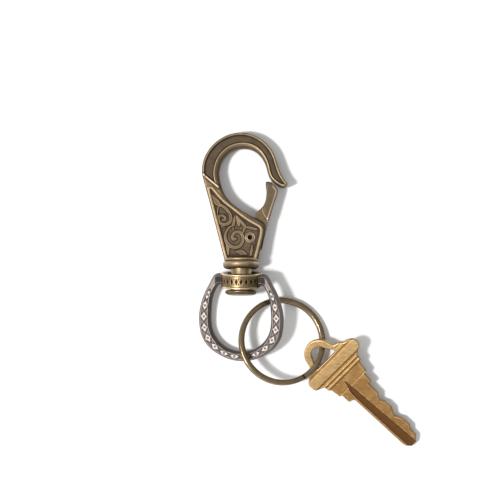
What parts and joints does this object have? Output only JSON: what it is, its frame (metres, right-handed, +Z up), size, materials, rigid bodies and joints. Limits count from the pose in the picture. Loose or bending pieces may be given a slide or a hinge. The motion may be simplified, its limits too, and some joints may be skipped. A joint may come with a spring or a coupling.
{
  "type": "carabiner keyring",
  "caption": "Cast snap hook with a sprung gate, a swivel and horseshoe shackle, a split ring and a house key on it.",
  "frame": {"origin": "on the surface that it lies on, under the middle of the whole object's footprint", "axes": "+Z up from the surface; +Y along the swivel towards the hook's crown; +X towards the gate's side, the ring and the key"},
  "size_m": [0.0812, 0.1166, 0.0154],
  "materials": {
    "antique_brass": "antiqued brass plate, dark in the recesses and rubbed bright on the rims",
    "gate_brass": "antiqued brass plate, browner than the hook",
    "worn_brass": "satin antiqued brass",
    "antique_silver": "antiqued silver plate, dark in the recesses",
    "ring_brass": "brass-plated spring wire, satin",
    "key_brass": "plain stamped and milled brass",
    "spring_steel": "dull spring steel"
  },
  "bodies": {
    "hook": {"hook_body": "antique_brass", "gate_pin": "spring_steel", "gate_spring": "spring_steel", "swivel_post": "worn_brass"},
    "gate": {"gate_lever": "gate_brass"},
    "shackle": {"swivel_barrel": "worn_brass", "horseshoe_shackle": "antique_silver"},
    "ring": {"split_ring": "ring_brass"},
    "key": {"house_key": "key_brass"}
  },
  "joints": [
    {"name": "gate_pivot", "type": "hinge", "parent": "hook", "child": "gate", "pos_m": [-0.02128, 0.01916, 0.00647], "axis": [0, 0.0785, 0.9969], "range_deg": [0, 30], "stiffness_Nm_per_rad": 0.03, "springref_deg": -57.3, "deforming": ["gate_spring"]},
    {"name": "swivel_spin", "type": "hinge", "parent": "hook", "child": "shackle", "pos_m": [-0.02458, 0.00361, 0.00769], "axis": [0, 0.9954, 0.0958], "continuous": true},
    {"name": "ring_swing", "type": "hinge", "parent": "shackle", "child": "ring", "pos_m": [-0.02225, -0.02452, 0.00556], "axis": [0.9672, 0.0563, 0.2477], "range_deg": [-110, 5]},
    {"name": "key_swing", "type": "hinge", "parent": "ring", "child": "key", "pos_m": [0.00496, -0.02426, 0.00385], "axis": [0.3027, 0.9227, -0.2387], "range_deg": [-90, 5]}
  ]
}
